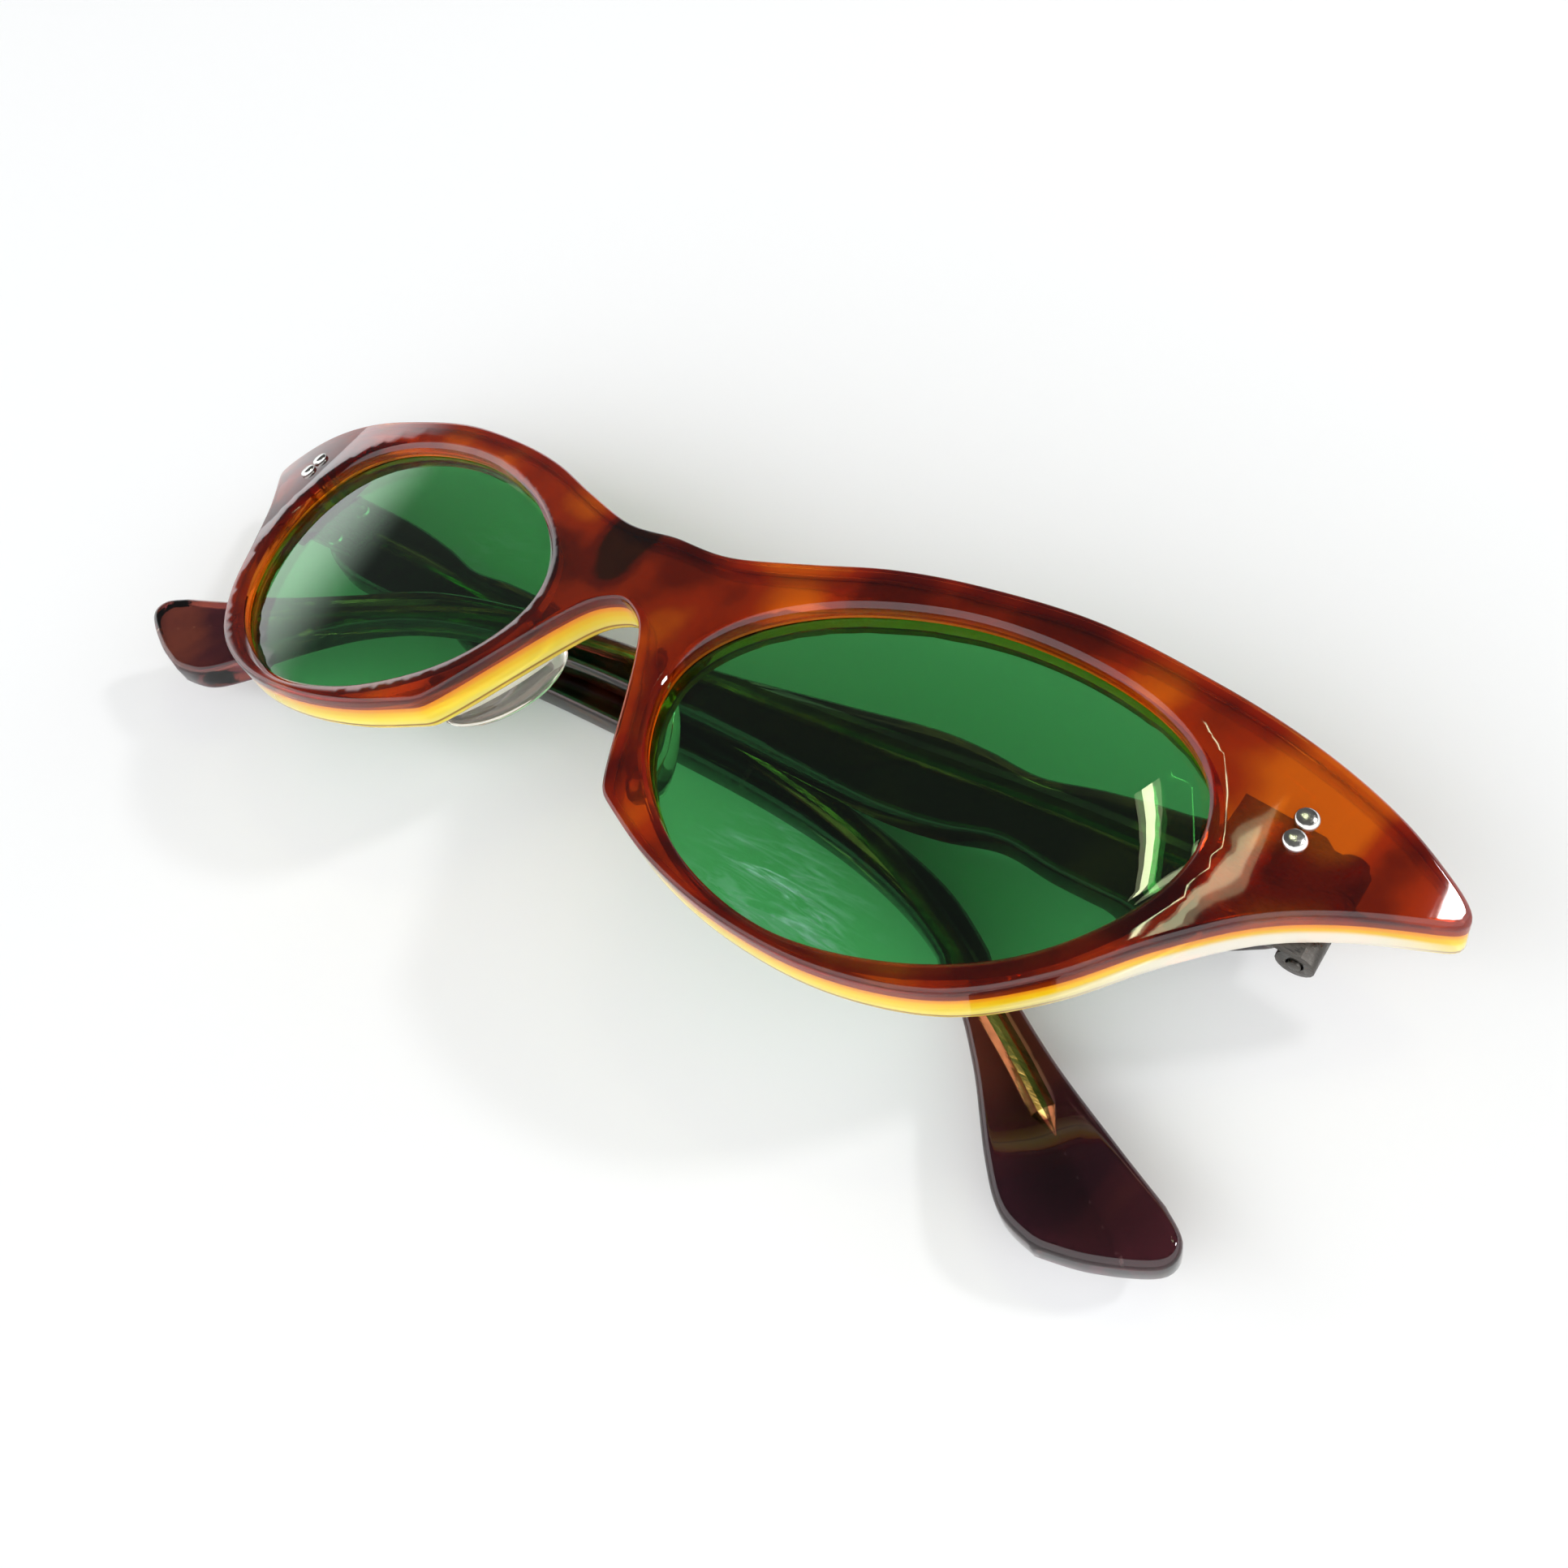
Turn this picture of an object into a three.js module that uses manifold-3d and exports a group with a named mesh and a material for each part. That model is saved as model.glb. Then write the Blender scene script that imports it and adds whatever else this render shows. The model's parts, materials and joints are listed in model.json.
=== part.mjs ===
// Cat-eye sunglasses, folded and lying on their temples with the lenses up.
// The frame front is two bonded acetate sheets, tortoise over honey. Each flat
// temple holds a core wire and turns on a riveted three-knuckle hinge.
// Millimetres, +Z up. +X points to the wearer's left, +Y to the brow edge.
import * as THREE from "three";
import { mergeVertices } from "three/addons/utils/BufferGeometryUtils.js";
import Module from "manifold-3d";

const wasm = await Module();
wasm.setup();

// Driving dimensions

// Face curve: a cylinder, with the end pieces swept back a little more.
const faceRadius = 280;
const sweepStart = 50;
const sweepRate = 0.006;
const halfSpan = 76;

// Blanks that cut through the front or a temple.
const cutLow = -30;
const cutHigh = 20;
const sheetHalf = 40;
const holeLow = -12;
const holeHigh = 6;

// The laminated sheet, measured down from the outer face.
const tortoiseThick = 1.4;
const glueGap = 0.1;
const frontThick = 4.7;

// Lens and the groove that holds it, both measured from the visible opening.
const lensTop = 1.75;
const lensThick = 1.8;
const lensGrow = 0.75;
const grooveThick = 2.25;
const grooveGrow = 1.0;

// Hinge: axis in the front's frame, knuckle and screw radii.
const hingeX = 61.2;
const hingeY = 8;
const hingeZ = -14.1;
const knuckleRadius = 1.5;
const knuckleHalf = 4;
const middleHalf = 1.2;
const knuckleGap = 0.2;
const screwRadius = 0.55;
const screwHole = 0.7;
const screwHoleHalf = 9;
const coveRadius = 1.8;

// Front hinge plate and its two rivets, on the back of each end piece.
const endpieceX = 58.8;
const plateThick = 0.8;
const plateGap = 0.15;
const beddingGap = 0.35;
const plateBack = 4.4;
const plateShoulder = 0.6;
const shoulderFrom = [1.8, 2.6];
const frontRivetY = [3.2, 1.2];
const rivetRadius = 0.6;
const rivetHole = 0.85;
const rivetHead = 0.93;

// Temple: flat acetate strip with a core wire, its last part bowed inwards to the head.
const templeThick = 3.6;
const templeInset = 0.6;
const templeBow = 3.4;
const bowStart = 65;
const templeLength = 125;
const buttSlope = 0.4;
const buttReach = 1.33;
const wireThick = 1.1;
const wireHalf = 1.0;
const wireGap = 0.15;
const wireStart = 3.6;
const wirePoint = 2.4;
const channelStart = -4;
const channelReach = 5;
const templeRivetS = 6.2;
const templeRivetY = [2.3, -2.3];

// The two temples cross when folded: the right one lies under the left one, so it is
// folded a little less. Wear has let each arm turn a little on its rivets.
const foldLag = { left: -1.2, right: 2.9 };
const armDroop = { left: -1.2, right: 1.2 };

// The folded glasses rest on the lower temple, so the front tips up on the left.
const lieAngle = -2.41;

const degrees = Math.PI / 180;

// Small tools

const v2 = (points) => points.map(([x, y]) => new THREE.Vector2(x, y));

function solidOf(geometry, matrix = new THREE.Matrix4()) {
  const bare = geometry.index ? geometry.toNonIndexed() : geometry.clone();
  bare.deleteAttribute("normal");
  bare.deleteAttribute("uv");
  const merged = mergeVertices(bare.applyMatrix4(matrix), 1e-4);
  return new wasm.Manifold(
    new wasm.Mesh({
      numProp: 3,
      vertProperties: merged.attributes.position.array,
      triVerts: new Uint32Array(merged.index.array),
    }),
  );
}

function geometryOf(solid) {
  const mesh = solid.getMesh();
  const geometry = new THREE.BufferGeometry();
  geometry.setAttribute("position", new THREE.BufferAttribute(mesh.vertProperties, 3));
  geometry.setIndex(new THREE.BufferAttribute(mesh.triVerts, 1));
  const flat = geometry.toNonIndexed();
  flat.computeVertexNormals();
  return flat;
}

// A straight prism over an outline, deep enough to pass through the front or a temple.
function prism(points, low = cutLow, high = cutHigh) {
  const shape = new THREE.Shape(points);
  const geometry = new THREE.ExtrudeGeometry(shape, { depth: high - low, bevelEnabled: false });
  return solidOf(geometry.translate(0, 0, low));
}

// A bent sheet: its profile lies in the XZ plane and runs along Y.
function sheet(profile) {
  const shape = new THREE.Shape(v2(profile));
  const geometry = new THREE.ExtrudeGeometry(shape, { depth: 2 * sheetHalf, bevelEnabled: false });
  geometry.translate(0, 0, -sheetHalf).rotateX(Math.PI / 2);
  return solidOf(geometry);
}

// A closed outline moved outwards by a distance.
function grown(points, distance) {
  const count = points.length;
  const turn = THREE.ShapeUtils.isClockWise(points) ? -1 : 1;
  return points.map((point, i) => {
    const along = points[(i + 1) % count].clone().sub(points[(i + count - 1) % count]).normalize();
    const out = new THREE.Vector2(along.y, -along.x);
    return point.clone().addScaledVector(out, distance * turn);
  });
}

const mirrored = (points) => points.map((p) => new THREE.Vector2(-p.x, p.y));

function cylinderY(radius, low, high, sides = 20) {
  const geometry = new THREE.CylinderGeometry(radius, radius, high - low, sides);
  return geometry.translate(0, (low + high) / 2, 0);
}

function box(x0, x1, y0, y1, z0, z1) {
  const geometry = new THREE.BoxGeometry(x1 - x0, y1 - y0, z1 - z0);
  return geometry.translate((x0 + x1) / 2, (y0 + y1) / 2, (z0 + z1) / 2);
}

// Materials

const finish = (color, roughness, metalness = 0, extra = {}) =>
  new THREE.MeshStandardMaterial({ color, roughness, metalness, ...extra });
const glossy = 0.15;
const tortoise = finish(0x8a3015, glossy);
const honey = finish(0xe3a814, glossy);
const clearAcetate = finish(0xf2ead2, glossy, 0, { transparent: true, opacity: 0.6 });
const greenGlass = finish(0x1f7a3c, 0.05, 0, { transparent: true, opacity: 0.7 });
const steel = finish(0xb9b9b4, 0.3, 1);
const gold = finish(0xd2b04c, 0.3, 1);

// The front's curves

// Height of the outer face above its highest line, at a distance from the middle.
function faceZ(x) {
  const past = Math.max(0, Math.abs(x) - sweepStart);
  return -(x * x) / (2 * faceRadius) - sweepRate * past * past;
}

// Slope angle of the face at the hinge rivets.
const endpieceTurn = Math.atan(endpieceX / faceRadius + 2 * sweepRate * (endpieceX - sweepStart));

// A layer of the front between two depths under the outer face.
function frontLayer(top, bottom) {
  const steps = 38;
  const xs = Array.from({ length: steps + 1 }, (_, i) => halfSpan * ((2 * i) / steps - 1));
  const upper = xs.map((x) => [x, faceZ(x) - top]);
  const lower = xs.map((x) => [x, faceZ(x) - bottom]).reverse();
  return sheet([...upper, ...lower]);
}

// Half of the front's outline: brow and wing, lower rim, then the nose arch.
function halfOutline() {
  const brow = new THREE.SplineCurve(
    v2([
      [0, 12.3], [6, 12.3], [13.5, 14.5], [20.4, 16.9], [28, 18.5], [38, 19.5], [48, 18.7],
      [57, 17.3], [63.7, 15.5], [68, 13.5], [70.4, 11.9], [70.6, 10.6], [68.8, 9.3],
    ]),
  );
  const rim = new THREE.SplineCurve(
    v2([
      [68.8, 9.3], [63.5, 6], [59, 2.4], [54.4, -2.8], [49.5, -9.1], [43.5, -14.1],
      [35.5, -16.8], [27, -17.1], [19, -15.6], [11.7, -12.6],
    ]),
  );
  const nose = new THREE.SplineCurve(
    v2([[11.7, -12.6], [10.2, -10], [8, -5.6], [5.4, -0.6], [3, 2.9], [0, 4.4]]),
  );
  return [
    ...brow.getSpacedPoints(38),
    ...rim.getSpacedPoints(30).slice(1),
    ...nose.getSpacedPoints(10).slice(1),
  ];
}

function lensOutline() {
  const marks = [
    [9.3, -0.6], [11.4, 5.9], [18.2, 11.4], [28, 15], [37.5, 15.8], [46, 14.4], [51.5, 10.8],
    [53.4, 5], [51.6, -2], [46.5, -9], [39, -13.8], [30, -15.9], [20.5, -13.8], [12.6, -8],
  ];
  const curve = new THREE.CatmullRomCurve3(marks.map(([x, y]) => new THREE.Vector3(x, y, 0)), true);
  return curve.getSpacedPoints(46).slice(0, -1).map((p) => new THREE.Vector2(p.x, p.y));
}

const half = halfOutline();
const frontOutline = [...half, ...mirrored(half).reverse().slice(1, -1)];
const opening = lensOutline();

// Runs a job on the left outline and on its mirror image.
const bothSides = (points, job) => [points, mirrored(points)].map(job);

// Rivets

// A round-headed rivet along Z: dome at the top, shank, and a flat peened tail.
function rivetGeometry(headZ, tailZ) {
  const domeHeight = 0.42;
  const rise = 3;
  const dome = Array.from({ length: rise + 1 }, (_, i) => {
    const angle = (i / rise) * (Math.PI / 2);
    return [rivetHead * Math.sin(angle), headZ + domeHeight * Math.cos(angle)];
  });
  const tailRadius = 0.95;
  const tailHeight = 0.3;
  const profile = [
    ...dome,
    [rivetRadius, headZ],
    [rivetRadius, tailZ],
    [tailRadius, tailZ],
    [tailRadius, tailZ - tailHeight],
    [0, tailZ - tailHeight],
  ];
  return new THREE.LatheGeometry(v2(profile.reverse()), 12).rotateX(Math.PI / 2);
}

// End piece frame

// Origin on the outer face at the rivets, +Z square to it.
const endpiece = new THREE.Matrix4()
  .makeTranslation(endpieceX, hingeY, faceZ(endpieceX))
  .multiply(new THREE.Matrix4().makeRotationY(endpieceTurn));
const endpieceDepth = frontThick * Math.cos(endpieceTurn);
const plateTop = -endpieceDepth - beddingGap;
const plateBottom = plateTop - plateThick;
const axisInEndpiece = new THREE.Vector3(hingeX, hingeY, hingeZ).applyMatrix4(endpiece.clone().invert());

function frontRivetHoles() {
  const along = new THREE.Matrix4().makeRotationX(Math.PI / 2);
  return frontRivetY.map((y) => {
    const place = endpiece.clone().multiply(new THREE.Matrix4().makeTranslation(0, y, 0)).multiply(along);
    return solidOf(cylinderY(rivetHole, holeLow, holeHigh, 12), place);
  });
}

// The front's rivet holes on both sides, as one cutter list.
function allRivetHoles() {
  const left = frontRivetHoles();
  return [...left, ...left.map((hole) => hole.mirror([1, 0, 0]))];
}

// Front

function frontBlank(top, bottom) {
  let body = prism(frontOutline).intersect(frontLayer(top, bottom));
  bothSides(opening, (loop) => {
    body = body.subtract(prism(loop));
  });
  allRivetHoles().forEach((hole) => {
    body = body.subtract(hole);
  });
  return body;
}

function honeyLayer() {
  const top = tortoiseThick + glueGap;
  let body = frontBlank(top, frontThick);
  const seat = frontLayer(top - glueGap, top + grooveThick);
  bothSides(grown(opening, grooveGrow), (loop) => {
    body = body.subtract(prism(loop).intersect(seat));
  });
  return body;
}

function lens() {
  return prism(grown(opening, lensGrow)).intersect(frontLayer(lensTop, lensTop + lensThick));
}

// A slim blade of clear acetate glued behind the nose edge.
function nosePad() {
  const centre = [9.7, -5.4];
  const radii = [1.5, 6.6, 4];
  const lean = 27 * degrees;
  const blade = new THREE.SphereGeometry(1, 14, 10).scale(...radii).rotateZ(lean);
  blade.translate(...centre, -frontThick);
  return solidOf(blade).intersect(frontLayer(frontThick + glueGap, 3 * frontThick));
}

// Hinge

// A rivet hole along Z.
const rivetHoleAt = (x, y) =>
  solidOf(cylinderY(rivetHole, holeLow, holeHigh, 12).rotateX(Math.PI / 2).translate(x, y, 0));

// Front leaf in the end piece frame: plate under the acetate, two outer knuckles.
function frontLeaf() {
  const axis = new THREE.Matrix4().makeTranslation(axisInEndpiece.x, 0, axisInEndpiece.z);
  const reach = axisInEndpiece.x;
  const shoulder = knuckleHalf + plateShoulder;
  const outline = v2([
    [-plateBack, -knuckleHalf], [reach, -knuckleHalf], [reach, knuckleHalf],
    [reach - shoulderFrom[0], knuckleHalf], [reach - shoulderFrom[1], shoulder], [-plateBack, shoulder],
  ]);
  let body = prism(outline, plateBottom, plateTop);
  const knuckle = [middleHalf + knuckleGap, knuckleHalf];
  for (const [low, high] of [knuckle, [-knuckle[1], -knuckle[0]]]) {
    body = body.add(solidOf(cylinderY(knuckleRadius, low, high), axis));
  }
  const clear = middleHalf + knuckleGap;
  body = body.subtract(solidOf(cylinderY(coveRadius, -clear, clear), axis));
  body = body.subtract(solidOf(cylinderY(screwHole, -screwHoleHalf, screwHoleHalf, 12), axis));
  for (const y of frontRivetY) body = body.subtract(rivetHoleAt(0, y));
  return body;
}

// Temple leaf in the hinge frame: plate on the temple's inner face, middle knuckle.
function templeLeaf() {
  const plateLow = -templeInset + plateGap;
  const plateHigh = plateLow + plateThick;
  const plateEnd = 9.6;
  const plateHalf = 3.3;
  const plateFrom = coveRadius + 0.2;
  let body = solidOf(box(-plateEnd, -plateFrom, -plateHalf, plateHalf, plateLow, plateHigh));
  body = body.add(solidOf(box(-plateFrom - 0.5, 0, -middleHalf, middleHalf, plateLow, plateHigh)));
  body = body.add(solidOf(cylinderY(knuckleRadius, -middleHalf, middleHalf)));
  body = body.subtract(solidOf(cylinderY(screwHole, -screwHoleHalf, screwHoleHalf, 12)));
  for (const y of templeRivetY) body = body.subtract(rivetHoleAt(-templeRivetS, y));
  return body;
}

// Slotted hinge screw along Y, head above the top knuckle.
function hingeScrew() {
  const headRadius = 1.15;
  const headFrom = knuckleHalf + 0.15;
  const headTop = headFrom + 0.75;
  const end = -knuckleHalf - 0.2;
  const profile = [
    [0, end],
    [screwRadius, end],
    [screwRadius, headFrom],
    [headRadius, headFrom],
    [headRadius, headTop - 0.2],
    [headRadius - 0.25, headTop],
    [0, headTop],
  ];
  const body = solidOf(new THREE.LatheGeometry(v2(profile), 16));
  const slot = box(-2, 2, headTop - 0.3, headTop + 1, -0.15, 0.15);
  return body.subtract(solidOf(slot));
}

// Temples

// All temple shapes are in the hinge frame: the strip runs along -X when folded.
const bowZ = (s) => templeBow * Math.max(0, (s - bowStart) / (templeLength - bowStart)) ** 2;

// A bent layer of the temple between two depths under its inner face.
function templeLayer(top, bottom, reachTop, reachBottom) {
  const steps = 16;
  const past = templeLength + 3 - bowStart;
  const stations = Array.from({ length: steps + 1 }, (_, i) => bowStart + (i * past) / steps);
  const edge = (depth, reach) => [
    [reach, -templeInset - depth],
    ...stations.map((s) => [-s, -templeInset - depth + bowZ(s)]),
  ];
  return sheet([...edge(top, reachTop), ...edge(bottom, reachBottom).reverse()]);
}

// Side outline as distance from the axis and height above the hinge's middle. The end's
// lower corner is cut off on the slant, clear of the wing.
function templeOutline() {
  const upper = new THREE.SplineCurve(
    v2([
      [-3, 4.9], [6, 4.9], [13, 4.6], [19.5, 3.7], [25, 2.5], [30.5, 2.9], [36, 2.8], [45, 1.4],
      [60, -0.8], [75, -2], [86, -3.8], [95, -6.4], [103, -11], [110, -15], [117, -18.3], [122.4, -20.7],
    ]),
  );
  const tip = new THREE.SplineCurve(
    v2([[122.4, -20.7], [124.6, -22.4], [124.3, -24.7], [120, -27], [116, -28.1]]),
  );
  const lower = new THREE.SplineCurve(
    v2([
      [116, -28.1], [112.6, -27.2], [109.4, -24.2], [104.6, -18.4], [99.5, -13.6], [93, -9.9], [84, -7.4],
      [73, -6.2], [60, -6], [47, -6.2], [37, -6.5], [30.5, -5.8], [25, -4.4], [19.5, -4.9], [13, -5],
      [9.5, -4.8], [6.2, -3.9], [3, -2], [0, -0.1], [-3, 1.8],
    ]),
  );
  const loop = [
    ...upper.getSpacedPoints(42),
    ...tip.getSpacedPoints(7).slice(1),
    ...lower.getSpacedPoints(46).slice(1),
  ];
  return mirrored(loop);
}

// Centre line of the core wire, and the outline of a strip along it.
function wireOutline(halfWidth, from, point) {
  const line = new THREE.SplineCurve(
    v2([
      [from, 0.7], [20, 0.6], [40, -0.6], [57, -1.6], [71, -2.7],
      [85, -5.3], [96, -9.8], [106, -15.4], [111, -18.6],
    ]),
  );
  const count = 24;
  const centre = line.getSpacedPoints(count);
  const along = centre.map((_, i) => line.getTangentAt(i / count));
  const across = along.map((d) => new THREE.Vector2(-d.y, d.x));
  const side = (sign) => centre.map((p, i) => p.clone().addScaledVector(across[i], sign * halfWidth));
  const end = centre[count].clone().addScaledVector(along[count], point);
  return mirrored([...side(1), end, ...side(-1).reverse()]);
}

const wireTop = (templeThick - wireThick) / 2;

function templeBody() {
  const reachBottom = buttReach - buttSlope * templeThick;
  let body = prism(templeOutline()).intersect(templeLayer(0, templeThick, buttReach, reachBottom));
  body = body.subtract(solidOf(cylinderY(coveRadius, -cutHigh, cutHigh)));
  const channel = prism(wireOutline(wireHalf + wireGap, channelStart, wirePoint + 2 * wireGap));
  const channelTop = wireTop - wireGap;
  const channelBottom = wireTop + wireThick + wireGap;
  body = body.subtract(
    channel.intersect(templeLayer(channelTop, channelBottom, channelReach, channelReach)),
  );
  for (const y of templeRivetY) body = body.subtract(rivetHoleAt(-templeRivetS, y));
  return body;
}

function coreWire() {
  return prism(wireOutline(wireHalf, wireStart, wirePoint)).intersect(
    templeLayer(wireTop, wireTop + wireThick, 0, 0),
  );
}

// Assembly

function part(name, geometry, material) {
  const mesh = new THREE.Mesh(geometry, material);
  mesh.name = name;
  return mesh;
}

const front = new THREE.Group();
front.add(part("front_tortoise", geometryOf(frontBlank(0, tortoiseThick)), tortoise));
front.add(part("front_honey", geometryOf(honeyLayer()), honey));

const shapes = {
  lens: geometryOf(lens()),
  pad: geometryOf(nosePad()),
  frontLeaf: geometryOf(frontLeaf()),
  templeLeaf: geometryOf(templeLeaf()),
  screw: geometryOf(hingeScrew()),
  temple: geometryOf(templeBody()),
  wire: geometryOf(coreWire()),
  frontRivet: rivetGeometry(0.1, plateBottom - 0.1),
  templeRivet: rivetGeometry(templeThick + templeInset + 0.1, -plateThick + templeInset - plateGap - 0.1),
};

// Everything on one side, built on the wearer's left and mirrored for the right.
function side(name) {
  const group = new THREE.Group();
  group.scale.x = name === "left" ? 1 : -1;
  group.add(part(`lens_${name}`, shapes.lens, greenGlass));
  group.add(part(`nose_pad_${name}`, shapes.pad, clearAcetate));

  const end = new THREE.Group();
  end.position.set(endpieceX, hingeY, faceZ(endpieceX));
  end.rotation.y = endpieceTurn;
  end.add(part(`front_leaf_${name}`, shapes.frontLeaf, steel));
  frontRivetY.forEach((y, i) => {
    const rivet = part(`front_rivet_${name}_${i + 1}`, shapes.frontRivet, steel);
    rivet.position.y = y;
    end.add(rivet);
  });
  group.add(end);

  const hinge = new THREE.Group();
  hinge.position.set(hingeX, hingeY, hingeZ);
  hinge.add(part(`hinge_screw_${name}`, shapes.screw, steel));

  const swing = new THREE.Group();
  swing.rotation.y = -foldLag[name] * degrees;
  swing.add(part(`temple_leaf_${name}`, shapes.templeLeaf, steel));
  templeRivetY.forEach((y, i) => {
    const rivet = part(`temple_rivet_${name}_${i + 1}`, shapes.templeRivet, steel);
    rivet.rotation.y = Math.PI;
    rivet.position.set(-templeRivetS, y, 0);
    swing.add(rivet);
  });
  const arm = new THREE.Group();
  arm.position.x = -templeRivetS;
  arm.rotation.z = armDroop[name] * degrees;
  const temple = part(`temple_${name}`, shapes.temple, tortoise);
  const wire = part(`core_wire_${name}`, shapes.wire, gold);
  temple.position.x = templeRivetS;
  wire.position.x = templeRivetS;
  arm.add(temple, wire);
  swing.add(arm);
  hinge.add(swing);
  group.add(hinge);
  return group;
}

const glasses = new THREE.Group();
glasses.add(front, side("left"), side("right"));
glasses.rotation.y = lieAngle * degrees;

// Stand the folded glasses on the table, centred over the origin.
const stand = new THREE.Group();
stand.add(glasses);
stand.updateMatrixWorld(true);
const extent = new THREE.Box3().setFromObject(stand, true);
glasses.position.set(
  -(extent.min.x + extent.max.x) / 2,
  -(extent.min.y + extent.max.y) / 2,
  -extent.min.z,
);

export default stand;
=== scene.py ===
import json
import math

import bmesh
import bpy
import numpy as np
from mathutils import Matrix, Vector
from mathutils.geometry import delaunay_2d_cdt


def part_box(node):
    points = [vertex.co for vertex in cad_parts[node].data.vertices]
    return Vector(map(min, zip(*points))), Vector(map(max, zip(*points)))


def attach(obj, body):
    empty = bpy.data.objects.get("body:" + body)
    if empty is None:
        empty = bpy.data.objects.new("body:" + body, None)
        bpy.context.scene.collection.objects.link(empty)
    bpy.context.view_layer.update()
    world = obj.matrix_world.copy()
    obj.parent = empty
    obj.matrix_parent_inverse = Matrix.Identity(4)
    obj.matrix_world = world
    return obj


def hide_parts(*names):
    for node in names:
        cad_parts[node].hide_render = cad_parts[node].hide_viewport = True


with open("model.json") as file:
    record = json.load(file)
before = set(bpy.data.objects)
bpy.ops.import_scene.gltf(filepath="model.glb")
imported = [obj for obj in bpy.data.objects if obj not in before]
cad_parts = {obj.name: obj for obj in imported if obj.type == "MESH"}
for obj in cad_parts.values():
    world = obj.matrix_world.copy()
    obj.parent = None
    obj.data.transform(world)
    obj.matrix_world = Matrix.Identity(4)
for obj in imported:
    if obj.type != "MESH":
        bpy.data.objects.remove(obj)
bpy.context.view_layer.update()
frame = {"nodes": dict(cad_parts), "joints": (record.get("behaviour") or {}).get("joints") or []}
print("frame loaded:", len(frame["nodes"]), "nodes")

# Shapes are drawn in millimetres and become metres when they are placed.
mm = 0.001

# The front's own frame: x from the middle to the wearer's left, y to the brow, z out of the
# face. Its place comes from the two hinges, which lie on one line across the front.
hinge = {"x": 61.2, "y": 8.0, "z": -14.1}


def frontPlace():
    ends = {j["child"]: Vector(j["pos_m"]) for j in frame["joints"]}
    left, right = ends["left_temple"], ends["right_temple"]
    across = left - right
    tilt = Matrix.Rotation(-math.atan2(across.z, across.x), 4, "Y")
    middle = Matrix.Translation((left + right) / 2)
    return middle @ tilt @ Matrix.Scale(mm, 4) @ Matrix.Translation((0, -hinge["y"], -hinge["z"]))


frontMatrix = frontPlace()


# Outlines, drawn flat.

def smoothLine(points, step, closed=False):
    # A Catmull-Rom line through the points, cut into equal steps.
    p = np.array(points, float)
    p = np.vstack([p[-1:], p, p[:2]]) if closed else np.vstack([p[:1], p, p[-1:]])
    t = np.linspace(0, 1, 24, endpoint=False)[:, None]
    line = np.vstack([
        0.5 * (2 * b + (c - a) * t + (2 * a - 5 * b + 4 * c - d) * t**2 + (3 * b - a - 3 * c + d) * t**3)
        for a, b, c, d in zip(p, p[1:], p[2:], p[3:])
    ])
    line = np.vstack([line, line[:1] if closed else p[-1:]])
    walked = np.r_[0, np.cumsum(np.linalg.norm(np.diff(line, axis=0), axis=1))]
    marks = np.linspace(0, walked[-1], max(3, round(walked[-1] / step)) + 1)
    even = np.stack([np.interp(marks, walked, line[:, k]) for k in (0, 1)], 1)
    return even[:-1] if closed else even


def softened(loop, passes):
    # Sanding the outline: corners round off, long curves stay.
    for _ in range(passes):
        loop = 0.5 * loop + 0.25 * (np.roll(loop, 1, 0) + np.roll(loop, -1, 0))
    return loop


def counterClockwise(loop):
    x, y = loop.T
    area = np.sum(x * np.roll(y, -1) - y * np.roll(x, -1))
    return loop if area > 0 else loop[::-1]


def mirroredLoop(loop):
    return counterClockwise(loop * [-1, 1])


def outwards(loop):
    along = np.roll(loop, -1, 0) - np.roll(loop, 1, 0)
    along /= np.linalg.norm(along, axis=1)[:, None]
    return np.stack([along[:, 1], -along[:, 0]], 1)


def grown(loop, distance):
    return loop + outwards(loop) * distance


def distanceTo(points, loop):
    ends = np.roll(loop, -1, 0) - loop
    best = np.empty(len(points))
    for i in range(0, len(points), 1500):
        p = points[i:i + 1500, None] - loop
        t = np.clip((p * ends).sum(-1) / (ends * ends).sum(-1), 0, 1)
        best[i:i + 1500] = np.linalg.norm(p - t[..., None] * ends, axis=-1).min(1)
    return best


def inside(points, loop):
    x, y = points[:, 0, None], points[:, 1, None]
    x0, y0 = loop.T
    x1, y1 = np.roll(loop, -1, 0).T
    crosses = (y0 > y) != (y1 > y)
    with np.errstate(divide="ignore", invalid="ignore"):
        edge = (x1 - x0) * (y - y0) / (y1 - y0) + x0
    return (crosses & (x < edge)).sum(1) % 2 == 1


# Every acetate and glass piece is a sheet with shaped edges.

def fillPoints(outline, holes, insets, spacing):
    loops = [outline, *holes]
    marks = []
    for k, loop in enumerate(loops):
        inwards = -outwards(loop) if k == 0 else outwards(loop)
        marks += [(loop + inwards * inset, inset) for inset in insets]
    low, high = outline.min(0), outline.max(0)
    across, up = (np.arange(low[k] + spacing / 3, high[k], spacing) for k in (0, 1))
    grid = np.stack(np.meshgrid(across, up), -1)
    grid[1::2, :, 0] += spacing / 2
    marks.append((grid.reshape(-1, 2), insets[-1] + 0.5 * spacing))
    found = []
    for points, least in marks:
        near = np.min([distanceTo(points, loop) for loop in loops], axis=0)
        good = (near > least * 0.985) & inside(points, outline)
        for hole in holes:
            good &= ~inside(points, hole)
        found.append(points[good])
    return np.vstack(found)


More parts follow.
